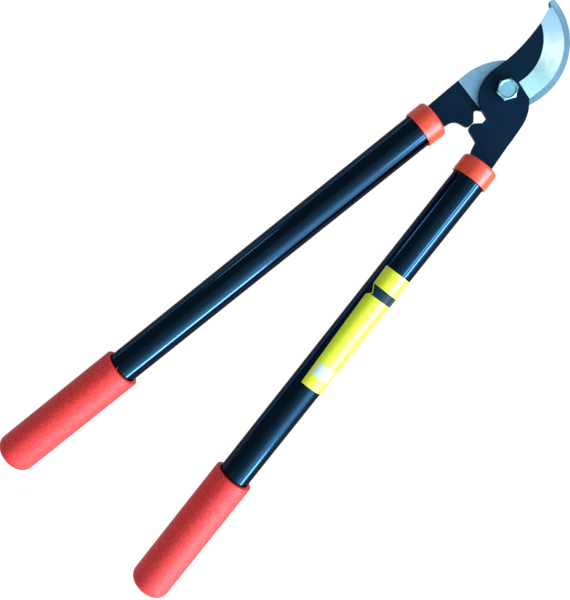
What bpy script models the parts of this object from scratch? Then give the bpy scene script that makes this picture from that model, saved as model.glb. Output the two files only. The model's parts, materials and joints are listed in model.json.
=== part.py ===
"""A bypass lopper with tube handles, closed and lying flat.

The pivot axis is +Z with the bolt head up, the jaws point to +Y and the handles to -Y. Metres.
The hook arm carries the bolt and its nut. The blade arm turns about the bolt, and a turn to the
left opens the jaws. The origin is on the ground, under the middle of the whole tool.
"""
import math

import bmesh
import bpy
from mathutils import Vector

# Clearance and plates
GAP = 0.0003                    # room between two pieces that touch
PLATE_THICKNESS = 0.004
BEND_START = 0.0222             # from the pivot along the handle, where a plate starts its step
BEND_LENGTH = 0.0056
BEND_RADIUS = 0.004

# Blade: ground edge, heel and tip, seen from above with the pivot at 0, 0
EDGE_CENTRE = (-0.0206, 0.0219)
EDGE_RADIUS = 0.0376
EDGE_LAND = 0.0004              # thickness left at the cutting edge
EDGE_ANGLES = (-13.0, 80.0)     # from the heel towards the tip
GRIND_CENTRE = (-0.0277, 0.0178)
GRIND_RADIUS = 0.0310           # inner limit of the bevel on the upper face
HEEL = (0.0156, 0.0070)
HEEL_SLOPE = -0.206             # the bevel ends on a line that falls towards the edge
BLADE_TIP = [(-0.0167, 0.0597, 0.0), (-0.0180, 0.0576, 0.0)]
BLADE_BACK = [
    (-0.0152, 0.0474),
    (-0.0140, 0.0384),
    (-0.0133, 0.0273),
    (-0.01375, 0.0161),
    (-0.0149, 0.0084),
]
LOBE_CENTRE = (0.0064, 0.0008)
LOBE_RADIUS = 0.02235
LOBE_ANGLES = (170.0, 247.0)
SHOULDER_CENTRE = (-0.0023, -0.0146)
SHOULDER_RADIUS = 0.0276

# Hook: counter-blade round the same branch
HOOK_CENTRE = (-0.0218, 0.0212)
HOOK_RADIUS = 0.0430
HOOK_ANGLES = (85.0, -60.0)     # outer edge, from the tip round under the bolt
HOOK_TIP = [(-0.0231, 0.0642, 0.0018), (-0.0181, 0.0586, 0.0005)]
THROAT_CENTRE = (-0.0239, 0.0220)
THROAT_RADIUS = 0.0369
THROAT_ANGLES = (-12.5, 78.0)   # inner edge, from the throat to the tip
THROAT = [(-0.0068, 0.0222, 0.0045), (0.0085, 0.0085, 0.0025)]
BOSS_CENTRE = (0.0159, -0.0160)
BOSS_RADIUS = 0.0432
BOSS_TOP = 131.0
RELIEF_DEPTH = 0.0024           # slope on the hook's inner edge, away from the blade
RELIEF_WIDTH = 0.0018

# Stops: a nose on each plate, which meet under the pivot when the jaws are shut
BLADE_NOSE = (0.0295, 0.0345)   # from the pivot to the corners of the nose's face
HOOK_NOSE = (0.0290, 0.0341)
BLADE_NOTCH = [(0.0042, -0.02145, 0.0007), (0.0046, -0.0250, 0.0010)]
HOOK_NOTCH = [(-0.0009, -0.0187, 0.0010), (-0.0064, -0.0224, 0.0027)]
NOSE_UPPER_RADIUS = 0.0015
NOSE_LOWER_RADIUS = 0.0031
BLADE_CROTCH = [(0.0104, -0.03695, 0.0010), (0.0125, -0.0429, 0.0025)]
HOOK_CROTCH = [(-0.0104, -0.03695, 0.0072)]

# Handles
HANDLE_SPLAY = 6.9              # degrees between a shut handle and the middle line
BLADE_OFFSET = 0.01824          # from the pivot square to the right tube's axis
HOOK_OFFSET = 0.01586           # from the pivot square to the left tube's axis
TUBE_DIAMETER = 0.024
TUBE_WALL = 0.0015
COLLAR_START = 0.0469           # from the pivot along the handle
COLLAR_LENGTH = 0.0137
COLLAR_WALL = 0.00105
COLLAR_END_WALL = 0.003
COLLAR_ROUND = 0.0024
BLADE_NECK = (0.0096, 0.00765)  # from the tube's axis in and out, where the plate enters its collar
HOOK_NECK = (0.0089, 0.00885)
TANG_WIDTH = 0.015
TANG_LENGTH = 0.026
TANG_ROUND = 0.001
SLEEVE_LENGTH = 0.030
PIN_DIAMETER = 0.004
PIN_RECESS = 0.0003
GRIP_START = 0.3272
GRIP_LENGTH = 0.1085
GRIP_WALL = 0.00295
GRIP_END_WALL = 0.006
GRIP_END_ROUND = 0.0065
GRIP_DOME = 0.0008
GRIP_MOUTH_ROUND = 0.0006
PLUG_LENGTH = 0.014
PLUG_FLANGE = 0.0015
PLUG_HOLLOW = 0.0018            # wall of the plug's hollow stem

# Pivot hardware
BOLT_DIAMETER = 0.008
BOLT_TIP = 0.0006               # thread that stands out of the nut
HEX_ACROSS = 0.013              # across flats, head and nut
HEAD_HEIGHT = 0.0053
HEX_CHAMFER = 30.0
HEX_FACE = 0.95                 # the flat top's diameter as a share of the width across flats
HEX_ROOM = 1.02                 # the turned blank's radius against the hexagon's corners
END_CHAMFER = 1 / 6             # on the ends of the bolt and the pins, as a share of the radius
WASHER_DIAMETER = 0.016
WASHER_THICKNESS = 0.0016
NUT_HEX_HEIGHT = 0.0058
NUT_RIM_HEIGHT = 0.0018
NUT_RIM_WALL = 0.0009
NUT_LIP = 0.0003
INSERT_WALL = 0.0009

# Label round the right tube
LABEL_START = 0.140
LABEL_LENGTH = 0.100
LABEL_WIDTH = 0.050
LABEL_THICKNESS = 0.00015
LABEL_EDGE = -45.5              # degrees from the tube's top, at the end nearer the jaws
LABEL_TWIST = 20.6              # degrees by which it is stuck on askew

ARC_STEP = 4.0                  # degrees between two points of a wide arc
CORNER_STEP = 15.0
ROUND_STEPS = 48
SMALL_STEPS = 32
DOME_STEPS = 4
SHARP = math.radians(13)

BOLT_RADIUS = BOLT_DIAMETER / 2
HEX_CORNER = HEX_ACROSS / 2 / math.cos(math.radians(30))
TUBE_RADIUS = TUBE_DIAMETER / 2
TUBE_BORE = TUBE_RADIUS - TUBE_WALL
SLEEVE_RADIUS = TUBE_BORE - GAP
SEAT_RADIUS = TUBE_RADIUS + GAP                # bore of the collars and the grips
GRIP_RADIUS = SEAT_RADIUS + GRIP_WALL
COLLAR_RADIUS = SEAT_RADIUS + COLLAR_WALL
TUBE_START = COLLAR_START + COLLAR_END_WALL + GAP
COLLAR_END = COLLAR_START + COLLAR_LENGTH
PIN_PLACE = (TUBE_START + COLLAR_END) / 2
GRIP_END = GRIP_START + GRIP_LENGTH
TUBE_END = GRIP_END - GRIP_END_WALL - PLUG_FLANGE - 2 * GAP
PLATE_LIFT = (PLATE_THICKNESS + GAP) / 2       # from the middle plane to a plate's middle at the pivot
TANG_END = TUBE_START + TANG_LENGTH

HEAD_SEAT = GAP / 2 + PLATE_THICKNESS + GAP    # the bolt head's lower face over the middle plane
WASHER_TOP = -HEAD_SEAT
WASHER_BOTTOM = WASHER_TOP - WASHER_THICKNESS
NUT_TOP = WASHER_BOTTOM - GAP
NUT_STEP = NUT_TOP - NUT_HEX_HEIGHT
NUT_BOTTOM = NUT_STEP - NUT_RIM_HEIGHT
BOLT_END = NUT_BOTTOM - BOLT_TIP


def side_frame(side):
    """Unit vectors across a shut handle, outwards, and along it. side is 1 on the right, -1 on the left."""
    splay = math.radians(HANDLE_SPLAY)
    outwards = Vector((side * math.cos(splay), math.sin(splay)))
    along = Vector((side * math.sin(splay), -math.cos(splay)))
    return outwards, along


def handle_point(side, across, distance, radius=0.0):
    """A corner given from the tube's axis outwards and from the pivot along the handle."""
    outwards, along = side_frame(side)
    offset = BLADE_OFFSET if side > 0 else HOOK_OFFSET
    point = outwards * (offset + across) + along * distance
    return point.x, point.y, radius


def circle_point(centre, radius, angle):
    angle = math.radians(angle)
    return centre[0] + radius * math.cos(angle), centre[1] + radius * math.sin(angle), 0.0


def arc(centre, radius, start, end):
    count = max(2, math.ceil(abs(end - start) / ARC_STEP))
    return [circle_point(centre, radius, start + (end - start) * i / count) for i in range(count + 1)]


def tangent_angle(centre, radius, point, turn):
    """Where on a circle a straight line to the point leaves it. turn is 1 or -1."""
    away = Vector((point[0] - centre[0], point[1] - centre[1]))
    return math.degrees(math.atan2(away.y, away.x) + turn * math.acos(radius / away.length))


def smooth(points, steps=5):
    """A curve that passes through each of the points."""
    ends = [points[0]] + list(points) + [points[-1]]
    curve = []
    for before, start, end, after in zip(ends, ends[1:], ends[2:], ends[3:]):
        for i in range(steps):
            t = i / steps
            weights = (-t + 2 * t**2 - t**3, 2 - 5 * t**2 + 3 * t**3, t + 4 * t**2 - 3 * t**3, t**3 - t**2)
            near = (before, start, end, after)
            x = sum(w * p[0] for w, p in zip(weights, near)) / 2
            y = sum(w * p[1] for w, p in zip(weights, near)) / 2
            curve.append((x, y, 0.0))
    return curve + [(*points[-1][:2], 0.0)]


def rounded(corners):
    """A closed outline from corners (x, y, radius), where a corner with a radius becomes an arc."""
    outline = []
    for i, (x, y, radius) in enumerate(corners):
        corner = Vector((x, y))
        if radius == 0:
            outline.append(corner)
            continue
        back = (Vector(corners[i - 1][:2]) - corner).normalized()
        ahead = (Vector(corners[(i + 1) % len(corners)][:2]) - corner).normalized()
        half = math.acos(back.dot(ahead)) / 2
        centre = corner + (back + ahead).normalized() * (radius / math.sin(half))
        first = corner + back * (radius / math.tan(half)) - centre
        last = corner + ahead * (radius / math.tan(half)) - centre
        start = math.atan2(first.y, first.x)
        sweep = (math.atan2(last.y, last.x) - start + math.pi) % math.tau - math.pi
        count = max(1, math.ceil(abs(math.degrees(sweep)) / CORNER_STEP))
        for j in range(count + 1):
            angle = start + sweep * j / count
            outline.append(centre + Vector((math.cos(angle), math.sin(angle))) * radius)
    return outline


def clear_scene():
    for old in list(bpy.data.objects):
        bpy.data.objects.remove(old, do_unlink=True)


def new_collection(name):
    made = bpy.data.collections.new(name)
    bpy.context.scene.collection.children.link(made)
    return made


def new_material(name, colour, roughness, metallic):
    made = bpy.data.materials.new(name)
    made.use_nodes = True
    shader = made.node_tree.nodes["Principled BSDF"]
    shader.inputs["Base Color"].default_value = (*colour, 1)
    shader.inputs["Roughness"].default_value = roughness
    shader.inputs["Metallic"].default_value = metallic
    made.diffuse_color = (*colour, 1)
    return made


clear_scene()
PARTS = new_collection("lopper")
CUTTERS = new_collection("lopper_cutters")

PAINT = new_material("navy_paint", (0.006, 0.018, 0.045), 0.5, 0.0)
GLOSS = new_material("tube_paint", (0.004, 0.009, 0.016), 0.2, 0.0)
STEEL = new_material("ground_steel", (0.55, 0.70, 0.78), 0.3, 1.0)
ZINC = new_material("zinc", (0.60, 0.72, 0.80), 0.25, 1.0)
ORANGE = new_material("orange_plastic", (0.80, 0.12, 0.05), 0.35, 0.0)
FOAM = new_material("red_foam", (0.75, 0.05, 0.05), 0.9, 0.0)
NYLON = new_material("nylon", (0.10, 0.22, 0.55), 0.5, 0.0)
MOULDED = new_material("black_plastic", (0.03, 0.03, 0.03), 0.6, 0.0)
STICKER = new_material("label_film", (0.58, 0.75, 0.01), 0.3, 0.0)


def add_empty(name, parent, location=(0, 0, 0), rotation=(0, 0, 0)):
    empty = bpy.data.objects.new(name, None)
    empty.empty_display_size = 0.02
    empty.parent = parent
    empty.location = location
    empty.rotation_euler = rotation
    PARTS.objects.link(empty)
    return empty


def add_object(name, mesh, parent, material=None):
    """A sub-part, or a cutter when it has no material."""
    made = bpy.data.objects.new(name, mesh)
    made.parent = parent
    if material is None:
        CUTTERS.objects.link(made)
        made.hide_render = True
        made.display_type = "WIRE"
    else:
        PARTS.objects.link(made)
        mesh.materials.append(material)
    return made


def flat_mesh(name, outline, bottom, top):
    """A flat outline with a thickness, as a mesh."""
    curve = bpy.data.curves.new(name, "CURVE")
    curve.dimensions = "2D"
    curve.fill_mode = "BOTH"
    curve.extrude = (top - bottom) / 2
    spline = curve.splines.new("POLY")
    spline.points.add(len(outline) - 1)
    for point, place in zip(spline.points, outline):
        point.co = (place[0], place[1], 0, 1)
    spline.use_cyclic_u = True
    flat = bpy.data.objects.new(name, curve)
    CUTTERS.objects.link(flat)
    bpy.context.view_layer.update()
    mesh = bpy.data.meshes.new_from_object(flat.evaluated_get(bpy.context.evaluated_depsgraph_get()))
    bpy.data.objects.remove(flat)
    bm = bmesh.new()
    bm.from_mesh(mesh)
    bmesh.ops.remove_doubles(bm, verts=bm.verts, dist=1e-7)
    bmesh.ops.recalc_face_normals(bm, faces=bm.faces)
    bmesh.ops.translate(bm, verts=bm.verts, vec=(0, 0, (bottom + top) / 2))
    bm.to_mesh(mesh)
    bm.free()
    return mesh


def turned_mesh(name, profile):
    """The line of a turned shape: corners (radius, height), down the outer side first."""
    mesh = bpy.data.meshes.new(name)
    mesh.from_pydata([(radius, 0, height) for radius, height in profile], [], [])
    bm = bmesh.new()
    bm.from_mesh(mesh)
    bm.verts.ensure_lookup_table()
    for first, second in zip(bm.verts[:-1], bm.verts[1:]):
        bm.edges.new((first, second))
    if profile[0][0] > 0:
        bm.edges.new((bm.verts[-1], bm.verts[0]))
    bm.to_mesh(mesh)
    bm.free()
    return mesh


def turn(piece, steps=ROUND_STEPS):
    """Turns a profile about its own Z axis."""
    screw = piece.modifiers.new("turn", "SCREW")
    screw.axis = "Z"
    screw.angle = math.tau
    screw.steps = screw.render_steps = steps
    screw.use_merge_vertices = True
    screw.merge_threshold = 0.00001
    screw.use_smooth_shade = True
    return piece


def boolean(piece, cutter, operation="DIFFERENCE"):
    step = piece.modifiers.new(cutter.name, "BOOLEAN")
    step.operation = operation
    step.solver = "EXACT"
    step.object = cutter
    return piece


def rod(name, parent, radius, length, location, rotation=(0, 0, 0)):
    """A round cutter, with its middle at the location."""
    mesh = bpy.data.meshes.new(name)
    bm = bmesh.new()
    bmesh.ops.create_cone(
        bm, cap_ends=True, segments=SMALL_STEPS, radius1=radius, radius2=radius, depth=length
    )
    bm.to_mesh(mesh)
    bm.free()
    made = add_object(name, mesh, parent)
    made.location = location
    made.rotation_euler = rotation
    return made


def block(name, parent, size, location):
    mesh = bpy.data.meshes.new(name)
    bm = bmesh.new()
    bmesh.ops.create_cube(bm, size=1)
    bmesh.ops.scale(bm, verts=bm.verts, vec=size)
    bm.to_mesh(mesh)
    bm.free()
    made = add_object(name, mesh, parent)
    made.location = location
    return made


def leaning_cone(name, parent, ends, heights):
    """A cone whose two ends, each a centre and a radius, needn't be over one another."""
    (low_centre, low_radius), (high_centre, high_radius) = ends
    mesh = bpy.data.meshes.new(name)
    bm = bmesh.new()
    bmesh.ops.create_cone(
        bm,
        cap_ends=True,
        segments=round(360 / ARC_STEP),
        radius1=low_radius,
        radius2=high_radius,
        depth=heights[1] - heights[0],
    )
    for vert in bm.verts:
        centre = high_centre if vert.co.z > 0 else low_centre
        vert.co += Vector((*centre, sum(heights) / 2))
    bm.to_mesh(mesh)
    bm.free()
    return add_object(name, mesh, parent)


def stretched(low, high, heights, past):
    """Two ends of a cone carried on in a straight line past both of their heights."""
    ends = []
    for share in (-past / (heights[1] - heights[0]), 1 + past / (heights[1] - heights[0])):
        centre = [a + (b - a) * share for a, b in zip(low[0], high[0])]
        ends.append((centre, low[1] + (high[1] - low[1]) * share))
    return ends, (heights[0] - past, heights[1] + past)


def bent_strip(name, parent, lift):
    """Sheet of the plates' thickness, bent from its height at the pivot to the tube's axis."""
    reach = HOOK_RADIUS * 3
    path = rounded([
        (-reach, lift, 0),
        (BEND_START, lift, BEND_RADIUS),
        (BEND_START + BEND_LENGTH, 0, BEND_RADIUS),
        (TANG_END + GRIP_RADIUS, 0, 0),
    ])
    upper, lower = [], []
    for i, point in enumerate(path):
        before = point - path[i - 1] if i else path[1] - path[0]
        after = path[i + 1] - point if i + 1 < len(path) else before
        middle = before.normalized() + after.normalized()
        normal = Vector((-middle.y, middle.x)).normalized()
        half = PLATE_THICKNESS / 2 / math.cos(before.angle(after, 0) / 2)
        upper.append(point + normal * half)
        lower.append(point - normal * half)
    strip = add_object(name, flat_mesh(name, upper + lower[::-1], -reach, reach), parent)
    strip.rotation_euler = (0, math.radians(-90), 0)
    return strip


def nose(side, notch, ends, crotch):
    """Corners from the notch under the pivot, round the stop nose, to the crotch beside the neck."""
    face = side * GAP / 2
    upper = (face, -ends[0], NOSE_UPPER_RADIUS)
    lower = (face, -ends[1], NOSE_LOWER_RADIUS)
    return [*notch, upper, lower, *crotch]


def tang(side, neck):
    """Corners from the neck's inner side, round the tang, back to the neck's outer side."""
    inner, outer = neck
    shoulder = TUBE_START - GAP
    half = TANG_WIDTH / 2
    return [
        handle_point(side, -inner, COLLAR_START),
        handle_point(side, -inner, shoulder),
        handle_point(side, -half, shoulder),
        handle_point(side, -half, TANG_END, TANG_ROUND),
        handle_point(side, half, TANG_END, TANG_ROUND),
        handle_point(side, half, shoulder),
        handle_point(side, outer, shoulder),
        handle_point(side, outer, COLLAR_START),
    ]


def blade_outline():
    neck = handle_point(1, BLADE_NECK[1], COLLAR_START)
    leave = tangent_angle(SHOULDER_CENTRE, SHOULDER_RADIUS, neck, 1)
    heel = math.degrees(math.atan2(HEEL[1] - SHOULDER_CENTRE[1], HEEL[0] - SHOULDER_CENTRE[0]))
    return rounded([
        *arc(EDGE_CENTRE, EDGE_RADIUS, *EDGE_ANGLES),
        *BLADE_TIP,
        *smooth(BLADE_BACK),
        *arc(LOBE_CENTRE, LOBE_RADIUS, *LOBE_ANGLES),
        *nose(1, BLADE_NOTCH, BLADE_NOSE, BLADE_CROTCH),
        *tang(1, BLADE_NECK),
        *arc(SHOULDER_CENTRE, SHOULDER_RADIUS, leave, heel),
    ])


def hook_outline():
    neck = handle_point(-1, HOOK_NECK[1], COLLAR_START)
    leave = tangent_angle(BOSS_CENTRE, BOSS_RADIUS, neck, -1) % 360
    return rounded([
        *arc(HOOK_CENTRE, HOOK_RADIUS, *HOOK_ANGLES),
        *nose(-1, HOOK_NOTCH, HOOK_NOSE, HOOK_CROTCH),
        *tang(-1, HOOK_NECK),
        *arc(BOSS_CENTRE, BOSS_RADIUS, leave, BOSS_TOP),
        *THROAT,
        *arc(THROAT_CENTRE, THROAT_RADIUS, *THROAT_ANGLES),
        *HOOK_TIP[::-1],
    ])


def ground_bevel(parent):
    """What the wheel takes off the blade's upper face, from its inner limit down to the edge."""
    bottom = PLATE_LIFT - PLATE_THICKNESS / 2
    heights = (bottom + EDGE_LAND, bottom + PLATE_THICKNESS)
    ends, reach = stretched((EDGE_CENTRE, EDGE_RADIUS), (GRIND_CENTRE, GRIND_RADIUS), heights, EDGE_LAND)
    kept = leaning_cone("bevel_cone", parent, ends, reach)
    far = HOOK_RADIUS * 2
    heel_line = [(x, HEEL[1] + HEEL_SLOPE * (x - HEEL[0])) for x in (-far, far)]
    corners = [*heel_line, (far, far), (-far, far)]
    wheel = add_object("bevel_wheel", flat_mesh("bevel_wheel", corners, 0, PLATE_THICKNESS * 2), parent)
    return boolean(wheel, kept)


def hook_relief(parent):
    """The slope on the hook's inner edge, on the face that looks away from the blade."""
    bottom = -PLATE_LIFT - PLATE_THICKNESS / 2
    heights = (bottom, bottom + RELIEF_DEPTH)
    low, high = (THROAT_CENTRE, THROAT_RADIUS + RELIEF_WIDTH), (THROAT_CENTRE, THROAT_RADIUS)
    cone = leaning_cone("relief_cone", parent, *stretched(low, high, heights, RELIEF_DEPTH / 4))
    far = HOOK_RADIUS * 2
    first, second = THROAT
    slope = (second[1] - first[1]) / (second[0] - first[0])
    line = [(x, first[1] + slope * (x - first[0])) for x in (-far, far)]
    corners = [*line, (far, far * 2), (-far, far * 2)]
    side = add_object("relief_side", flat_mesh("relief_side", corners, -PLATE_THICKNESS * 3, 0), parent)
    return boolean(cone, side, "INTERSECT")


def make_plate(name, parent, axis, outline, lift):
    """One arm's plate: its outline, bent like its strip, with the bolt and pin holes."""
    depth = PLATE_THICKNESS * 2
    plate = add_object(name, flat_mesh(name, outline, -depth, depth), parent, PAINT)
    boolean(plate, bent_strip(name + "_strip", axis, lift), "INTERSECT")
    boolean(plate, rod(name + "_bolt_hole", parent, BOLT_RADIUS + GAP, depth * 2, (0, 0, 0)))
    return boolean(plate, pin_hole(name + "_pin_hole", axis))


def pin_hole(name, axis):
    radius = PIN_DIAMETER / 2 + GAP
    return rod(name, axis, radius, TUBE_DIAMETER * 2, (0, 0, PIN_PLACE), (math.radians(90), 0, 0))


def hexagon(name, parent):
    """A long six-sided bar, two flats facing +Y and -Y."""
    outline = [circle_point((0, 0), HEX_CORNER, 60 * i) for i in range(6)]
    return add_object(name, flat_mesh(name, outline, BOLT_END * 2, -BOLT_END * 2), parent)


def hex_blank():
    """The turned blank of a hexagon: radius of its flat face, radius outside, depth of its chamfer."""
    face, outside = HEX_ACROSS / 2 * HEX_FACE, HEX_CORNER * HEX_ROOM
    return face, outside, (outside - face) * math.tan(math.radians(HEX_CHAMFER))


def make_bolt(parent):
    face, corner, drop = hex_blank()
    top = HEAD_SEAT + HEAD_HEIGHT
    tip = BOLT_RADIUS * END_CHAMFER
    profile = [
        (0, top),
        (face, top),
        (corner, top - drop),
        (corner, HEAD_SEAT),
        (BOLT_RADIUS, HEAD_SEAT),
        (BOLT_RADIUS, BOLT_END + tip),
        (BOLT_RADIUS - tip, BOLT_END),
        (0, BOLT_END),
    ]
    bolt = turn(add_object("pivot_bolt", turned_mesh("pivot_bolt", profile), parent, ZINC), SMALL_STEPS)
    boolean(bolt, hexagon("bolt_hexagon", parent), "INTERSECT")


def make_nut(parent):
    """Lock nut: a hexagon with a round rim that holds the nylon ring."""
    bore = BOLT_RADIUS + GAP
    seat = bore + INSERT_WALL
    pocket = seat + GAP
    rim = pocket + NUT_RIM_WALL
    face, corner, drop = hex_blank()
    profile = [
        (face, NUT_TOP),
        (corner, NUT_TOP - drop),
        (corner, NUT_STEP),
        (rim, NUT_STEP),
        (rim, NUT_BOTTOM + NUT_LIP),
        (rim - NUT_LIP, NUT_BOTTOM),
        (seat - NUT_LIP, NUT_BOTTOM),
        (seat - NUT_LIP, NUT_BOTTOM + NUT_LIP),
        (pocket, NUT_BOTTOM + NUT_LIP),
        (pocket, NUT_STEP),
        (bore, NUT_STEP),
        (bore, NUT_TOP),
    ]
    nut = turn(add_object("pivot_nut", turned_mesh("pivot_nut", profile), parent, ZINC), SMALL_STEPS)
    boolean(nut, hexagon("nut_hexagon", parent), "INTERSECT")
    top, bottom = NUT_STEP - GAP, NUT_BOTTOM + NUT_LIP + GAP
    ring = [(seat, top), (seat, bottom), (bore, bottom), (bore, top)]
    turn(add_object("nut_insert", turned_mesh("nut_insert", ring), parent, NYLON), SMALL_STEPS)


def make_washer(parent):
    outer, bore = WASHER_DIAMETER / 2, BOLT_RADIUS + GAP
    profile = [(outer, WASHER_TOP), (outer, WASHER_BOTTOM), (bore, WASHER_BOTTOM), (bore, WASHER_TOP)]
    turn(add_object("pivot_washer", turned_mesh("pivot_washer", profile), parent, ZINC), SMALL_STEPS)


def quarter(centre_radius, centre_height, radius, start, end, count):
    """Points of a rounded edge in a turned profile, by angle from the outward direction."""
    points = []
    for i in range(count + 1):
        angle = math.radians(start + (end - start) * i / count)
        points.append((centre_radius + radius * math.cos(angle), centre_height + radius * math.sin(angle)))
    return points


def make_tube(name, axis):
    profile = [
        (TUBE_RADIUS, TUBE_END),
        (TUBE_RADIUS, TUBE_START),
        (TUBE_BORE, TUBE_START),
        (TUBE_BORE, TUBE_END),
    ]
    tube = turn(add_object(name, turned_mesh(name, profile), axis, GLOSS))
    boolean(tube, pin_hole(name + "_pin_hole", axis))


def make_collar(name, axis):
    """A cap over the tube's end, with a slot in its end wall for the plate's neck."""
    inside = COLLAR_START + COLLAR_END_WALL
    profile = [
        (SEAT_RADIUS, COLLAR_END),
        (COLLAR_RADIUS, COLLAR_END),
        *quarter(COLLAR_RADIUS - COLLAR_ROUND, COLLAR_START + COLLAR_ROUND, COLLAR_ROUND, 0, -90, 6),
        (0, COLLAR_START),
        (0, inside),
        (SEAT_RADIUS, inside),
    ]
    mesh = turned_mesh(name, profile)
    collar = turn(add_object(name, mesh, axis, ORANGE))
    width = 2 * (max(*BLADE_NECK, *HOOK_NECK) + GAP)
    size = (width, PLATE_THICKNESS + 2 * GAP, COLLAR_END_WALL * 3)
    boolean(collar, block(name + "_slot", axis, size, (0, 0, COLLAR_START)))


def make_sleeve(name, axis):
    """A round insert in the tube's mouth, with a slot that holds the flat tang."""
    end = TUBE_START + SLEEVE_LENGTH
    profile = [(0, end), (SLEEVE_RADIUS, end), (SLEEVE_RADIUS, TUBE_START), (0, TUBE_START)]
    sleeve = turn(add_object(name, turned_mesh(name, profile), axis, MOULDED))
    size = (TANG_WIDTH + 2 * GAP, PLATE_THICKNESS + 2 * GAP, TANG_LENGTH + 2 * GAP)
    boolean(sleeve, block(name + "_slot", axis, size, (0, 0, TUBE_START + TANG_LENGTH / 2)))
    boolean(sleeve, pin_hole(name + "_pin_hole", axis))


def make_pin(name, axis):
    radius = PIN_DIAMETER / 2
    half = TUBE_RADIUS - PIN_RECESS
    chamfer = radius * END_CHAMFER
    profile = [(0, half), (radius - chamfer, half), (radius, half - chamfer)]
    profile += [(r, -h) for r, h in profile[::-1]]
    pin = turn(add_object(name, turned_mesh(name, profile), axis, ZINC), SMALL_STEPS)
    pin.location = (0, 0, PIN_PLACE)
    pin.rotation_euler = (math.radians(90), 0, 0)


def make_plug(name, axis):
    """Closes the tube's far end: a hollow stem in the bore under a thin flange."""
    start, top = TUBE_END - PLUG_LENGTH, TUBE_END + GAP + PLUG_FLANGE
    hollow = SLEEVE_RADIUS - PLUG_HOLLOW
    profile = [
        (0, top),
        (TUBE_RADIUS, top),
        (TUBE_RADIUS, TUBE_END + GAP),
        (SLEEVE_RADIUS, TUBE_END + GAP),
        (SLEEVE_RADIUS, start),
        (hollow, start),
        (hollow, TUBE_END),
        (0, TUBE_END),
    ]
    turn(add_object(name, turned_mesh(name, profile), axis, MOULDED))


def make_grip(name, axis):
    """A foam sleeve, open towards the jaws and closed with a shallow dome at its end."""
    flat = GRIP_RADIUS - GRIP_END_ROUND
    edge = GRIP_END - GRIP_DOME
    shares = [i / DOME_STEPS for i in range(DOME_STEPS)]
    dome = [(flat * share, GRIP_END - GRIP_DOME * share**2) for share in shares]
    corner = quarter(flat, edge - GRIP_END_ROUND, GRIP_END_ROUND, 90, 0, 7)
    lip = GRIP_RADIUS - GRIP_MOUTH_ROUND
    mouth = quarter(lip, GRIP_START + GRIP_MOUTH_ROUND, GRIP_MOUTH_ROUND, 0, -90, 3)
    inside = GRIP_END - GRIP_END_WALL
    profile = [*dome, *corner, *mouth, (SEAT_RADIUS, GRIP_START), (SEAT_RADIUS, inside), (0, inside)]
    turn(add_object(name, turned_mesh(name, profile), axis, FOAM))


def make_label(axis):
    """A film wrapped most of the way round the tube, stuck on a little askew."""
    radius = TUBE_RADIUS + GAP
    wrap = LABEL_WIDTH / radius
    mesh = bpy.data.meshes.new("label")
    bm = bmesh.new()
    bmesh.ops.create_grid(bm, x_segments=30, y_segments=6, size=0.5)
    for vert in bm.verts:
        across, down = vert.co.x + 0.5, vert.co.y + 0.5
        angle = math.radians(LABEL_EDGE + LABEL_TWIST * down) + wrap * across
        vert.co = (radius * math.sin(angle), radius * math.cos(angle), LABEL_START + LABEL_LENGTH * down)
    bm.to_mesh(mesh)
    bm.free()
    label = add_object("label", mesh, axis, STICKER)
    film = label.modifiers.new("film", "SOLIDIFY")
    film.thickness = LABEL_THICKNESS
    film.offset = 1
    mesh.shade_smooth()


def tube_axis(name, parent, side):
    """An empty beside the pivot whose Z axis runs down a tube."""
    foot = handle_point(side, 0, 0)
    upright = math.radians(90)
    return add_empty(name, parent, (foot[0], foot[1], 0), (upright, 0, side * math.radians(HANDLE_SPLAY)))


def make_handle(arm, axis):
    make_tube(arm + "_tube", axis)
    make_collar(arm + "_collar", axis)
    make_sleeve(arm + "_sleeve", axis)
    make_pin(arm + "_pin", axis)
    make_plug(arm + "_plug", axis)
    make_grip(arm + "_grip", axis)


def pivot_place():
    """The pivot over the middle of the tool's length and width, with the grips on the ground."""
    splay = math.radians(HANDLE_SPLAY)
    edge = GRIP_END - GRIP_DOME - GRIP_END_ROUND
    flat = GRIP_RADIUS - GRIP_END_ROUND
    feet = [handle_point(side, 0, edge) for side in (1, -1)]
    lowest = min(foot[1] for foot in feet) - flat * math.sin(splay) - GRIP_END_ROUND
    highest = max(point.y for point in hook_outline())
    middle = (feet[0][0] + feet[1][0]) / 2
    return -middle, -(lowest + highest) / 2, GRIP_RADIUS


def finish():
    """Smooth shading on round sides, crisp edges elsewhere."""
    for piece in PARTS.objects:
        if piece.type == "MESH":
            piece.data.shade_smooth()
            piece.data.set_sharp_from_angle(angle=SHARP)


def build():
    pivot = add_empty("pivot", None, pivot_place())
    hook_arm = add_empty("hook_arm", pivot)
    blade_arm = add_empty("blade_arm", pivot)
    hook_axis = tube_axis("hook_tube_axis", hook_arm, -1)
    blade_axis = tube_axis("blade_tube_axis", blade_arm, 1)

    blade = make_plate("blade_plate", blade_arm, blade_axis, blade_outline(), PLATE_LIFT)
    boolean(blade, ground_bevel(blade_arm))
    hook = make_plate("hook_plate", hook_arm, hook_axis, hook_outline(), -PLATE_LIFT)
    boolean(hook, hook_relief(hook_arm))
    make_bolt(hook_arm)
    make_washer(hook_arm)
    make_nut(hook_arm)
    make_handle("hook", hook_axis)
    make_handle("blade", blade_axis)
    make_label(blade_axis)
    finish()


build()
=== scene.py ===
"""Bypass lopper: finishes, printed label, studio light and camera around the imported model. Metres, +Z up."""
import json
import math

import bmesh
import bpy
from mathutils import Euler, Matrix, Vector


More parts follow.
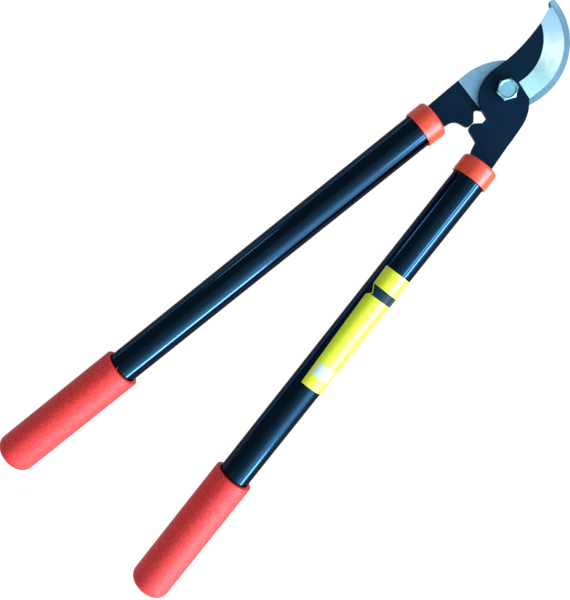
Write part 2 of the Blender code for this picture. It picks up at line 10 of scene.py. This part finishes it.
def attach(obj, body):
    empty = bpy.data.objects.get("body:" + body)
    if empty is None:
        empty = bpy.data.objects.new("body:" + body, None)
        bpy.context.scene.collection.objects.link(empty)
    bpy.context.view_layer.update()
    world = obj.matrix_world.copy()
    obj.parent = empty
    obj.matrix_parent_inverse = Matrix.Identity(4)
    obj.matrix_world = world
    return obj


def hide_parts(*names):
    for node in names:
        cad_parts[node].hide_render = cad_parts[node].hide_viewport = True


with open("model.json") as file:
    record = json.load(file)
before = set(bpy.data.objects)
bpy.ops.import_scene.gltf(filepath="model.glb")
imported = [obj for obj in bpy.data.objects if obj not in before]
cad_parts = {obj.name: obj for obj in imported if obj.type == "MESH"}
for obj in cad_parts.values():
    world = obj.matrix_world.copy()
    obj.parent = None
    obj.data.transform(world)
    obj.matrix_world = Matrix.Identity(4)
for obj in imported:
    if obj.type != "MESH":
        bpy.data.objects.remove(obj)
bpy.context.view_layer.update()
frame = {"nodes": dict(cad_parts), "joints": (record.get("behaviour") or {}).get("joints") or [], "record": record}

MM = 0.001
HOOK, BLADE = "hook_arm", "blade_arm"
PIVOT = Vector(frame["joints"][0]["pos_m"])
SPLAY = math.radians(6.9)                       # between a shut handle and the middle line
TUBE_OFFSET = {HOOK: 15.86 * MM, BLADE: 18.24 * MM}    # from the pivot to each tube's axis
SIDE = {HOOK: -1, BLADE: 1}

# Steel of the blade and the hook, from above with the pivot at 0, 0
EDGE_CENTRE = (-20.6 * MM, 21.9 * MM)
EDGE_RADIUS = 37.6 * MM                         # the blade's cutting edge
GRIND_CENTRE = (-27.7 * MM, 17.8 * MM)
GRIND_RADIUS = 31.0 * MM                        # inner limit of the ground bevel
HEEL = (15.6 * MM, 7.0 * MM)                    # the bevel ends beside the bolt, on a line through here
HEEL_SLOPE = -0.206
BLADE_UNDERSIDE = 0.15 * MM                     # above the pivot's point; this face stays painted
PAINT_END = 19.4 * MM                           # from the pivot along the hook's handle: paint starts there

# Painted reflection on the ground bevel, in degrees round its inner limit's centre
PAINTED_HIGHLIGHT_RISE = (10, 36)                           # from clear to the painted white highlight
COOL_RISE = (40, 58)                            # from the painted white highlight to cool
WANDER = 26.0                                   # how far noise clouds shift these stages of the painted reflection

# Bolt head: a raised rim round a sunken face
RIM_WIDTH = 0.35 * MM
SINK_SLOPE = 0.80 * MM
SINK_DEPTH = 0.40 * MM

# Meshes: CAD vertices closer than WELD are one, and outer edges get a small rounding
WELD = 0.001 * MM
FLAT_ANGLE = math.radians(0.5)
PLATE_EDGE = 0.15 * MM
BOLT_EDGE = 0.12 * MM
NUT_EDGE = 0.08 * MM
COLLAR_EDGE = 0.12 * MM
LEVEL_FACE = 0.9999                             # least upright share of a level face's normal
GRIND_FACE = (0.90, 0.985)                      # the same for the ground slope, least and most

# Label, in millimetres along the tube from its upper edge and round the tube from its left edge
LABEL_START = 140 * MM                          # from the pivot along the tube
LABEL_EDGE = -45.5                              # degrees from the tube's top, at the end nearer the jaws
LABEL_TWIST = 0.206                             # degrees for each millimetre along
LABEL_RADIUS = 12.3
NOTCH = (14.5, 20.9, 24.4)                      # start, deepest place and end of the ribbon's notched end
NOTCH_DEPTH = 3.7
NOTCH_BORDER = 0.6
RIBBON = (14.9, 22.2)
PALE_FIELD = ((81.0, 90.5), (2.5, 17.0))
PRINT_BLUR = 0.12

PAINT = (0.0018, 0.0136, 0.0350)
ENAMEL = (0.0045, 0.031, 0.069)
STEEL = (0.205, 0.430, 0.620)
# The bevel's clear, white and cool tones are a painted reflection; the white one is a painted highlight
BEVEL = (0.195, 0.388, 0.412)
BEVEL_PAINTED_HIGHLIGHT = (0.60, 0.78, 0.78)
BEVEL_COOL = (0.34, 0.63, 0.84)
FOAM_DEEP, FOAM_LIGHT = (0.54, 0.007, 0.005), (0.77, 0.021, 0.017)
ORANGE_DEEP, ORANGE_LIGHT = (0.69, 0.056, 0.018), (0.75, 0.070, 0.027)
ZINC_DEEP, ZINC_LIGHT = (0.22, 0.57, 0.79), (0.28, 0.66, 0.88)
YELLOW_DEEP, YELLOW_LIGHT = (0.60, 0.77, 0.001), (0.64, 0.83, 0.002)
RIBBON_INK = (0.004, 0.030, 0.050)
BLACK_INK = (0.004, 0.006, 0.010)
PALE_INK = (0.42, 0.66, 0.74)

CAMERA_PLACE = (-0.02178, 0.03435, 0.52161)
CAMERA_TURN = (-5.6411, 3.266, 44.5056)
CAMERA_LENS = 43.371

LAMP_DISTANCE = 2.0
LAMP_TARGET = Vector((0, 0.03, 0.01))
GLOW_AZIMUTH, GLOW_ELEVATION = -4, 27
GLOWS = ((3.4, 0.62, 0.38), (1.2, 0.4, 0.8))     # brightness, then half width and half height as sines
ROOM = 0.18                                     # brightness of the room away from the glow
FLOOR_SIZE = 200
FLOOR_DROP = 0.2 * MM                           # keeps the paper clear of the lowest faces
FLOOR_ALBEDO = 0.65                             # what the paper sends back of the light on it
FLOOR_GLOW = 0.965                              # brightness of the paper where it is seen or mirrored
FLOOR_SHADE = 0.08                              # its albedo there, which lets the shadow show


def pivot_frame(body):
    """A piece's own axes at the pivot, on either body: x and y as seen from above, z up."""
    return Matrix.Translation(PIVOT)


def tube_frame(body):
    """A piece's own axes on its tube: z down the tube from beside the pivot, y up."""
    side = SIDE[body]
    outwards = Vector((side * math.cos(SPLAY), math.sin(SPLAY), 0))
    place = PIVOT + outwards * TUBE_OFFSET[body]
    turn = Euler((math.radians(90), 0, side * SPLAY)).to_matrix().to_4x4()
    return Matrix.Translation(place) @ turn


def body_of(node):
    """The body that carries a CAD node."""
    for name, nodes in frame["record"]["behaviour"]["bodies"].items():
        if node in nodes:
            return name


class Nodes:
    """Short names for building a node tree."""

    def __init__(self, tree):
        self.tree = tree

    def add(self, kind, **settings):
        node = self.tree.nodes.new(kind)
        for key, value in settings.items():
            setattr(node, key, value)
        return node

    def link(self, source, socket):
        if isinstance(source, bpy.types.NodeSocket):
            self.tree.links.new(source, socket)
        elif isinstance(source, (tuple, list)) and len(source) == 3 and socket.type == "RGBA":
            socket.default_value = (*source, 1)
        else:
            socket.default_value = source

    def math(self, operation, *values):
        node = self.add("ShaderNodeMath", operation=operation)
        for value, socket in zip(values, node.inputs):
            self.link(value, socket)
        return node.outputs[0]

    def split(self, vector):
        node = self.add("ShaderNodeSeparateXYZ")
        self.link(vector, node.inputs[0])
        return node.outputs

    def join(self, x, y, z=0.0):
        node = self.add("ShaderNodeCombineXYZ")
        for value, socket in zip((x, y, z), node.inputs):
            self.link(value, socket)
        return node.outputs[0]

    def ramp(self, value, low, high, from_low=0.0, from_high=1.0, smooth=False):
        node = self.add("ShaderNodeMapRange", clamp=True)
        node.interpolation_type = "SMOOTHSTEP" if smooth else "LINEAR"
        names = ("Value", "From Min", "From Max", "To Min", "To Max")
        for name, number in zip(names, (value, from_low, from_high, low, high)):
            self.link(number, node.inputs[name])
        return node.outputs[0]

    def within(self, value, first, last, soft):
        """1 between two limits and 0 outside them."""
        rise = self.ramp(value, 0.0, 1.0, first - soft, first + soft, smooth=True)
        fall = self.ramp(value, 1.0, 0.0, last - soft, last + soft, smooth=True)
        return self.math("MULTIPLY", rise, fall)

    def mix(self, factor, first, second):
        node = self.add("ShaderNodeMix", data_type="RGBA")
        self.link(factor, node.inputs["Factor"])
        self.link(first, node.inputs[6])
        self.link(second, node.inputs[7])
        return node.outputs[2]


class Finish(Nodes):
    """One material's nodes around its Principled shader, laid out on the piece's own coordinates."""

    def __init__(self, name):
        self.material = bpy.data.materials.new(name)
        self.material.use_nodes = True
        super().__init__(self.material.node_tree)
        self.shader = self.tree.nodes["Principled BSDF"]
        self.place = self.add("ShaderNodeTexCoord").outputs["Object"]

    def scaled(self, scale, turn=0.0):
        """Coordinates turned about z and stretched, so that a pattern gets its own scale along each axis."""
        node = self.add("ShaderNodeMapping", vector_type="TEXTURE")
        self.link(self.place, node.inputs["Vector"])
        node.inputs["Rotation"].default_value = (0, 0, turn)
        node.inputs["Scale"].default_value = scale
        return node.outputs[0]

    def polar(self, centre):
        """Radius and angle about a centre, seen along z."""
        x, y, _ = self.split(self.place)
        x, y = self.math("SUBTRACT", x, centre[0]), self.math("SUBTRACT", y, centre[1])
        squares = self.math("ADD", self.math("MULTIPLY", x, x), self.math("MULTIPLY", y, y))
        return self.math("SQRT", squares), self.math("DEGREES", self.math("ARCTAN2", y, x))

    def noise(self, scale, detail=3.0, roughness=0.5, vector=None):
        node = self.add("ShaderNodeTexNoise")
        self.link(vector or self.place, node.inputs["Vector"])
        node.inputs["Scale"].default_value = scale
        node.inputs["Detail"].default_value = detail
        node.inputs["Roughness"].default_value = roughness
        return node.outputs["Fac"]

    def bump(self, height, distance, strength, normal=None):
        node = self.add("ShaderNodeBump")
        node.inputs["Distance"].default_value = distance
        node.inputs["Strength"].default_value = strength
        self.link(height, node.inputs["Height"])
        if normal:
            self.link(normal, node.inputs["Normal"])
        return node.outputs[0]

    def gloss(self, level, rim):
        """A specular level that falls off to a share of itself towards the silhouette."""
        facing = self.add("ShaderNodeLayerWeight").outputs["Facing"]
        return self.math("MULTIPLY", self.ramp(facing, 1.0, rim, 0.15, 0.45), level)

    def set(self, **values):
        for key, value in values.items():
            self.link(value, self.shader.inputs[key.replace("_", " ")])


def tinted(colour, share):
    return tuple(channel * share for channel in colour)


def painted_steel(n, bare, colour, roughness, brushing):
    """Satin paint, and brushed steel where bare is 1."""
    cloud = n.noise(60, 4)
    paint = n.mix(n.ramp(cloud, 0.0, 1.0, 0.3, 0.7), tinted(PAINT, 0.9), tinted(PAINT, 1.12))
    grain = n.bump(n.noise(9000, 2), 0.00002, 0.25)
    n.set(
        Base_Color=n.mix(bare, paint, colour),
        Metallic=n.math("MULTIPLY", bare, 0.75),
        Roughness=n.ramp(bare, n.ramp(cloud, 0.42, 0.5, 0.3, 0.7), roughness),
        Normal=n.bump(n.math("MULTIPLY", brushing, bare), 0.00003, 0.6, grain),
        Specular_IOR_Level=0.04,
    )
    return n.material


def blade_material():
    """Paint up to the ground bevel, which carries a painted reflection: clear at the heel, a painted white
    highlight in the middle, cool at the tip.
    """
    n = Finish("blade_steel_and_paint")
    x, y, z = n.split(n.place)
    reach, angle = n.polar(GRIND_CENTRE)
    outside = n.ramp(reach, 0.0, 1.0, GRIND_RADIUS - 0.02 * MM, GRIND_RADIUS + 0.10 * MM)
    heel = n.math("ADD", HEEL[1] - HEEL_SLOPE * HEEL[0], n.math("MULTIPLY", x, HEEL_SLOPE))
    above = n.ramp(n.math("SUBTRACT", y, heel), 0.0, 1.0, -0.05 * MM, 0.05 * MM)
    lifted = n.ramp(z, 0.0, 1.0, BLADE_UNDERSIDE + 0.01 * MM, BLADE_UNDERSIDE + 0.07 * MM)
    bare = n.math("MULTIPLY", n.math("MULTIPLY", outside, above), lifted)

    marks = n.noise(1.0, 3, 0.6, n.join(n.math("MULTIPLY", angle, 1.1), n.math("DIVIDE", reach, 9 * MM)))
    fine = n.noise(1.0, 2, 0.6, n.join(n.math("MULTIPLY", angle, 5.0), n.math("DIVIDE", reach, 5 * MM)))
    # Painted reflection: the tone changes round the bevel from clear through a painted white highlight to cool
    swirl = n.math("MULTIPLY", n.math("SUBTRACT", n.noise(110, 4, 0.6), 0.5), WANDER)
    stage = n.math("ADD", angle, swirl)
    tone = n.mix(n.ramp(stage, 0.0, 1.0, *PAINTED_HIGHLIGHT_RISE, smooth=True), BEVEL, BEVEL_PAINTED_HIGHLIGHT)
    tone = n.mix(n.ramp(stage, 0.0, 1.0, *COOL_RISE, smooth=True), tone, BEVEL_COOL)
    tone = n.mix(n.ramp(marks, 0.28, 0.0, 0.35, 0.55), tone, tinted(BEVEL_COOL, 0.8))
    tone = n.mix(n.ramp(fine, 0.0, 0.14, 0.5, 0.7), tone, (0.9, 1.0, 1.0))
    rough = n.ramp(marks, 0.50, 0.38, 0.35, 0.65)
    return painted_steel(n, bare, tone, rough, fine)


def hook_material():
    """Bare brushed steel round the pivot and along the hook, painted from the neck on.

    The steel is painted lighter on the boss against the blade's shadow and is darker towards the tip, with a
    painted contact shadow along the blade's edge.
    """
    n = Finish("hook_steel_and_paint")
    x, y, _ = n.split(n.place)
    outwards, upwards = n.math("MULTIPLY", x, -math.sin(SPLAY)), n.math("MULTIPLY", y, math.cos(SPLAY))
    along = n.math("SUBTRACT", outwards, upwards)
    facing = n.split(n.add("ShaderNodeNewGeometry").outputs["True Normal"])[2]
    flat = n.ramp(n.math("ABSOLUTE", facing), 0.0, 1.0, 0.5, 0.6)
    bare = n.ramp(along, 1.0, 0.0, PAINT_END - 0.05 * MM, PAINT_END + 0.05 * MM)

    brushed = n.noise(1.0, 3, 0.65, n.scaled((9 * MM, 0.50 * MM, 1), -SPLAY))
    reach, angle = n.polar(EDGE_CENTRE)
    # Painted light: the steel is made lighter on the boss against the blade plate's shadow, and darker towards the
    # tip
    level = n.math("MULTIPLY", n.ramp(x, 1.22, 1.0, -18 * MM, -6 * MM), n.ramp(angle, 1.0, 0.86, 34, 46))
    # A painted contact shadow: a dark band on the steel along the blade's cutting edge
    blade_edge_band = n.within(reach, EDGE_RADIUS - 0.1 * MM, EDGE_RADIUS + 0.55 * MM, 0.15 * MM)
    painted_contact_shadow = n.math("MULTIPLY", blade_edge_band, n.ramp(angle, 0.0, 0.75, 45, 58))
    tone = n.mix(n.ramp(brushed, 0.0, 1.0, 0.35, 0.65), tinted(STEEL, 0.78), tinted(STEEL, 1.18))
    bright = n.add("ShaderNodeVectorMath", operation="SCALE")
    n.link(tone, bright.inputs[0])
    n.link(level, bright.inputs["Scale"])
    tone = n.mix(painted_contact_shadow, bright.outputs[0], tinted(STEEL, 0.2))
    rough = n.ramp(n.noise(40, 3), 0.36, 0.48, 0.3, 0.7)
    return painted_steel(n, n.math("MULTIPLY", bare, flat), tone, rough, brushed)


def tube_material():
    """Metallic blue-black enamel: dark where nothing bright is mirrored, blue where a lamp is."""
    n = Finish("gloss_tube_enamel")
    drawn = n.noise(1.0, 2, 0.5, n.scaled((0.9 * MM, 0.9 * MM, 90 * MM)))
    peel = n.noise(420, 2)
    dust = n.ramp(n.noise(1700, 1), 0.0, 1.0, 0.76, 0.80)
    n.set(
        Base_Color=n.mix(dust, ENAMEL, tinted(ENAMEL, 3)),
        Metallic=1.0,
        Roughness=n.ramp(n.noise(30, 3), 0.10, 0.16, 0.3, 0.7),
        Normal=n.bump(drawn, 0.00008, 0.12, n.bump(peel, 0.00005, 0.05)),
        Specular_Tint=(0, 0, 0),
        Coat_Weight=0.15,
        Coat_Roughness=0.08,
    )
    return n.material


def collar_material():
    n = Finish("orange_collar_plastic")
    cloud = n.noise(90, 4)
    n.set(
        Base_Color=n.mix(n.ramp(cloud, 0.0, 1.0, 0.3, 0.7), ORANGE_DEEP, ORANGE_LIGHT),
        Roughness=n.ramp(cloud, 0.34, 0.40, 0.3, 0.7),
        Normal=n.bump(n.noise(700, 2), 0.00003, 0.06),
        IOR=1.8,
        Specular_IOR_Level=n.gloss(0.5, 0.3),
        Specular_Tint=(1.0, 0.85, 1.0),
    )
    return n.material


def foam_material():
    """Closed-cell foam: fine pits of deeper red in a matt skin."""
    n = Finish("red_foam")
    cells, fine = n.noise(850, 3, 0.75), n.noise(2300, 2, 0.6)
    grain = n.math("ADD", n.math("MULTIPLY", cells, 0.6), n.math("MULTIPLY", fine, 0.4))
    n.set(
        Base_Color=n.mix(n.ramp(grain, 0.0, 1.0, 0.42, 0.58), FOAM_DEEP, FOAM_LIGHT),
        Roughness=0.62,
        Normal=n.bump(cells, 0.00030, 0.7, n.bump(fine, 0.00015, 0.6)),
        IOR=1.8,
        Specular_IOR_Level=n.gloss(n.ramp(grain, 0.33, 0.65, 0.42, 0.58), 0.75),
        Specular_Tint=(1.0, 0.80, 0.92),
    )
    return n.material


def zinc_material():
    """Bright plating, duller on the pressed flat faces than on slopes and sides."""
    n = Finish("bright_zinc")
    cloud = n.noise(500, 4, 0.6)
    facing = n.split(n.add("ShaderNodeNewGeometry").outputs["True Normal"])[2]
    n.set(
        Base_Color=n.mix(n.ramp(cloud, 0.0, 1.0, 0.35, 0.65), ZINC_DEEP, ZINC_LIGHT),
        Metallic=n.ramp(n.math("ABSOLUTE", facing), 1.0, 0.5, 0.93, 0.98),
        Roughness=n.ramp(cloud, 0.16, 0.24, 0.3, 0.7),
        Normal=n.bump(n.noise(900, 2), 0.00001, 0.15),
    )
    return n.material


def label_material():
    """Printed film: yellow-green, a dark ribbon with a notched end, a pale field, and no writing."""
    n = Finish("label_print")
    x, y, z = n.split(n.place)
    down = n.math("DIVIDE", n.math("SUBTRACT", z, LABEL_START), MM)
    turned = n.math("DEGREES", n.math("ARCTAN2", x, y))
    edge = n.math("ADD", LABEL_EDGE, n.math("MULTIPLY", down, LABEL_TWIST))
    across = n.math("MULTIPLY", n.math("SUBTRACT", turned, edge), math.radians(LABEL_RADIUS))

    start, deepest, end = NOTCH
    fall = n.ramp(down, 0.0, NOTCH_DEPTH, start, deepest)
    rise = n.ramp(down, NOTCH_DEPTH, 0.0, deepest, end)
    inside = n.math("SUBTRACT", across, n.math("MINIMUM", fall, rise))
    cut = n.ramp(inside, 1.0, 0.0, -0.2, 0.0)
    past_border = n.ramp(inside, 0.0, 1.0, NOTCH_BORDER - 0.1, NOTCH_BORDER + 0.1)
    ribbon = n.math("MULTIPLY", n.within(down, *RIBBON, PRINT_BLUR), past_border)
    pale_down, pale_across = PALE_FIELD
    pale_down = n.within(down, *pale_down, PRINT_BLUR)
    pale = n.math("MULTIPLY", pale_down, n.within(across, *pale_across, PRINT_BLUR))

    cloud = n.noise(200, 3)
    field = n.mix(n.ramp(cloud, 0.0, 1.0, 0.3, 0.7), YELLOW_DEEP, YELLOW_LIGHT)
    ink = n.mix(ribbon, n.mix(pale, field, PALE_INK), RIBBON_INK)
    n.set(
        Base_Color=n.mix(cut, ink, BLACK_INK),
        Roughness=n.ramp(cloud, 0.28, 0.34, 0.3, 0.7),
        Normal=n.bump(n.noise(350, 2), 0.00005, 0.05),
        IOR=1.7,
        Specular_IOR_Level=n.ramp(n.math("MAXIMUM", ribbon, cut), 0.95, 0.08),
    )
    return n.material


def plastic_material(name, colour):
    n = Finish(name)
    cloud = n.noise(300, 4)
    n.set(
        Base_Color=n.mix(cloud, tinted(colour, 0.85), tinted(colour, 1.15)),
        Roughness=n.ramp(cloud, 0.45, 0.6, 0.3, 0.7),
        Normal=n.bump(n.noise(2500, 2), 0.00004, 0.3),
    )
    return n.material


def sink_head(bm):
    """Sinks the middle of the bolt head's top, so that a rim stands round it."""
    top = max(bm.faces, key=lambda face: face.calc_center_median().z)
    bmesh.ops.inset_region(bm, faces=[top], thickness=RIM_WIDTH)
    bmesh.ops.inset_region(bm, faces=[top], thickness=SINK_SLOPE, depth=-SINK_DEPTH)


def grind_line(edge):
    """Whether an edge parts a level face from a gentle slope, as where the grinding starts."""
    low, high = sorted(abs(face.normal.z) for face in edge.link_faces)
    return high > LEVEL_FACE and GRIND_FACE[0] < low < GRIND_FACE[1]


def shade(bm, limit, crisp=None):
    """Smooth shading that stays crisp at steep edges, and at gentler ones that a test picks."""
    bm.normal_update()
    for face in bm.faces:
        face.smooth = True
    for edge in bm.edges:
        steep = edge.calc_face_angle(math.pi) > limit
        edge.smooth = not (steep or crisp and crisp(edge))


def stand(name, bm, material, home):
    """Makes a piece from a mesh whose own axes are at home."""
    mesh = bpy.data.meshes.new(name)
    bm.to_mesh(mesh)
    bm.free()
    mesh.materials.append(material)
    piece = bpy.data.objects.new(name, mesh)
    bpy.context.scene.collection.objects.link(piece)
    piece.matrix_world = home
    return piece


def dress(node, material, axes, bevel=0.0, sharp=30, change=None, crisp=None):
    """Stands a smooth-shaded piece with rounded edges in a CAD node's place."""
    body = body_of(node)
    home = axes(body)
    bm = bmesh.new()
    bm.from_mesh(frame["nodes"][node].data)
    bmesh.ops.remove_doubles(bm, verts=bm.verts, dist=WELD)
    bmesh.ops.dissolve_limit(bm, angle_limit=FLAT_ANGLE, verts=bm.verts, edges=bm.edges)
    if change:
        change(bm)
    limit = math.radians(sharp)
    if bevel:
        edges = [e for e in bm.edges if e.is_manifold and e.calc_face_angle() > limit]
        bmesh.ops.bevel(
            bm, geom=edges, offset=bevel, segments=2, profile=0.5, affect="EDGES", clamp_overlap=True
        )
    shade(bm, limit, crisp)
    bmesh.ops.transform(bm, matrix=home.inverted(), verts=bm.verts)
    piece = stand(node + "_dressed", bm, material, home)
    attributes = piece.data.attributes
    if "custom_normal" in attributes:
        attributes.remove(attributes["custom_normal"])
    if bevel:
        even = piece.modifiers.new("even", "WEIGHTED_NORMAL")
        even.keep_sharp = True
    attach(piece, body)
    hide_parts(node)
    return piece


def foam_shred(material):
    """A stray sliver of foam at the left grip's mouth, curling off the tube."""
    length, width, thick, lift = 3.0 * MM, 0.7 * MM, 0.35 * MM, 12.25 * MM
    start, angle, lean, steps = 328.0 * MM, math.radians(-5.0), math.radians(-9.0), 6
    bm = bmesh.new()
    rings = []
    for i in range(steps + 1):
        t = i / steps
        half = width / 2 * (1 - 0.6 * t * t)
        radius = lift + 0.5 * MM * t * t
        centre = angle + lean * t * 0.5
        ring = []
        for side, up in ((-1, 0), (1, 0), (1, 1), (-1, 1)):
            turn = centre + side * half / lift
            r = radius + up * thick * (1 - 0.5 * t)
            ring.append(bm.verts.new((r * math.sin(turn), r * math.cos(turn), start - length * t)))
        rings.append(ring)
    for first, second in zip(rings, rings[1:]):
        for j in range(4):
            bm.faces.new((first[j], first[(j + 1) % 4], second[(j + 1) % 4], second[j]))
    bm.faces.new(rings[0][::-1])
    bm.faces.new(rings[-1])
    bmesh.ops.recalc_face_normals(bm, faces=bm.faces)
    shred = stand("foam_shred", bm, material, tube_frame(HOOK))
    shred.data.shade_smooth()
    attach(shred, HOOK)


def dress_tool():
    zinc, tube, collar, foam = zinc_material(), tube_material(), collar_material(), foam_material()
    dark = plastic_material("black_plastic_moulded", (0.020, 0.020, 0.022))
    nylon = plastic_material("nylon_ring", (0.10, 0.22, 0.55))
    dress("blade_plate", blade_material(), pivot_frame, PLATE_EDGE, crisp=grind_line)
    dress("hook_plate", hook_material(), pivot_frame, PLATE_EDGE)
    dress("pivot_bolt", zinc, pivot_frame, BOLT_EDGE, sharp=20, change=sink_head)
    dress("pivot_nut", zinc, pivot_frame, NUT_EDGE, sharp=20)
    dress("pivot_washer", zinc, pivot_frame, BOLT_EDGE)
    dress("nut_insert", nylon, pivot_frame)
    for arm in ("hook", "blade"):
        dress(arm + "_tube", tube, tube_frame)
        dress(arm + "_collar", collar, tube_frame, COLLAR_EDGE)
        dress(arm + "_sleeve", dark, tube_frame)
        dress(arm + "_pin", zinc, tube_frame)
        dress(arm + "_plug", dark, tube_frame)
        dress(arm + "_grip", foam, tube_frame)
    dress("label", label_material(), tube_frame)
    foam_shred(foam)


def softbox(name, azimuth, elevation, width, height, radiance):
    """A rectangular lamp that faces the tool. Azimuth 0 is +X, 90 is +Y."""
    light = bpy.data.lights.new(name, "AREA")
    light.shape = "RECTANGLE"
    light.size, light.size_y = width, height
    light.energy = radiance * width * height * math.pi
    lamp = bpy.data.objects.new(name, light)
    bpy.context.scene.collection.objects.link(lamp)
    azimuth, elevation = math.radians(azimuth), math.radians(elevation)
    level = math.cos(elevation)
    way = Vector((math.cos(azimuth) * level, math.sin(azimuth) * level, math.sin(elevation)))
    lamp.location = LAMP_TARGET + way * LAMP_DISTANCE
    lamp.rotation_euler = way.to_track_quat("Z", "Y").to_euler()


def studio_world():
    """A dim room with a soft bright patch low on the +X side."""
    world = bpy.data.worlds.new("studio")
    bpy.context.scene.world = world
    world.use_nodes = True
    n = Nodes(world.node_tree)
    facing = n.add("ShaderNodeMapping", vector_type="TEXTURE")
    n.link(n.add("ShaderNodeTexCoord").outputs["Generated"], facing.inputs["Vector"])
    facing.inputs["Rotation"].default_value = (0, math.radians(-GLOW_ELEVATION), math.radians(GLOW_AZIMUTH))
    ahead, aside, above = n.split(facing.outputs[0])
    level = ROOM
    for strength, wide, tall in GLOWS:
        across = n.math("POWER", n.math("DIVIDE", aside, wide), 2.0)
        up = n.math("POWER", n.math("DIVIDE", above, tall), 2.0)
        lobe = n.math("EXPONENT", n.math("MULTIPLY", n.math("ADD", across, up), -1.0))
        lobe = n.math("MULTIPLY", lobe, n.ramp(ahead, 0.0, strength, 0.0, 0.4, smooth=True))
        level = n.math("ADD", level, lobe)
    background = world.node_tree.nodes["Background"]
    background.inputs["Color"].default_value = (0.95, 0.98, 1.0, 1)
    n.link(level, background.inputs["Strength"])


def floor():
    """Paper: plain to the light, and white where it is seen or mirrored, with the shadow kept."""
    bpy.ops.mesh.primitive_plane_add(size=FLOOR_SIZE, location=(0, 0, -FLOOR_DROP))
    plane = bpy.context.object
    plane.name = "floor"
    n = Finish("pale_floor")
    path = n.add("ShaderNodeLightPath")
    mirrored = n.math("MAXIMUM", path.outputs["Is Glossy Ray"], path.outputs["Is Transmission Ray"])
    seen = n.math("MAXIMUM", path.outputs["Is Camera Ray"], mirrored)
    paper = n.add("ShaderNodeBsdfDiffuse")
    n.link(n.mix(seen, (FLOOR_ALBEDO,) * 3, (FLOOR_SHADE,) * 3), paper.inputs["Color"])
    glow = n.add("ShaderNodeEmission")
    n.link(n.math("MULTIPLY", seen, FLOOR_GLOW), glow.inputs["Strength"])
    both = n.add("ShaderNodeAddShader")
    n.link(paper.outputs[0], both.inputs[0])
    n.link(glow.outputs[0], both.inputs[1])
    n.link(both.outputs[0], n.tree.nodes["Material Output"].inputs["Surface"])
    plane.data.materials.append(n.material)


def photo_camera():
    """The camera that took the photograph, fitted to both tubes."""
    camera = bpy.data.objects.new("camera", bpy.data.cameras.new("camera"))
    camera.data.lens = CAMERA_LENS
    camera.location = CAMERA_PLACE
    camera.rotation_euler = [math.radians(a) for a in CAMERA_TURN]
    bpy.context.scene.collection.objects.link(camera)
    bpy.context.scene.camera = camera


def studio():
    """A row of windows low on the right, a small one on the left, and soft light at both ends."""
    softbox("window_low", -28, 14, 0.96, 0.30, 36)
    softbox("window_high", 20, 20, 0.90, 0.26, 32)
    softbox("window_top", 20, 38, 0.90, 0.20, 13)
    softbox("left_pane", 181, 16, 0.24, 0.16, 6)
    softbox("end_north", 98, 46, 1.2, 0.9, 1.8)
    softbox("end_south", -98, 46, 1.2, 0.9, 1.8)
    studio_world()
    floor()
    photo_camera()
    bpy.context.scene.view_settings.view_transform = "Standard"


dress_tool()
studio()
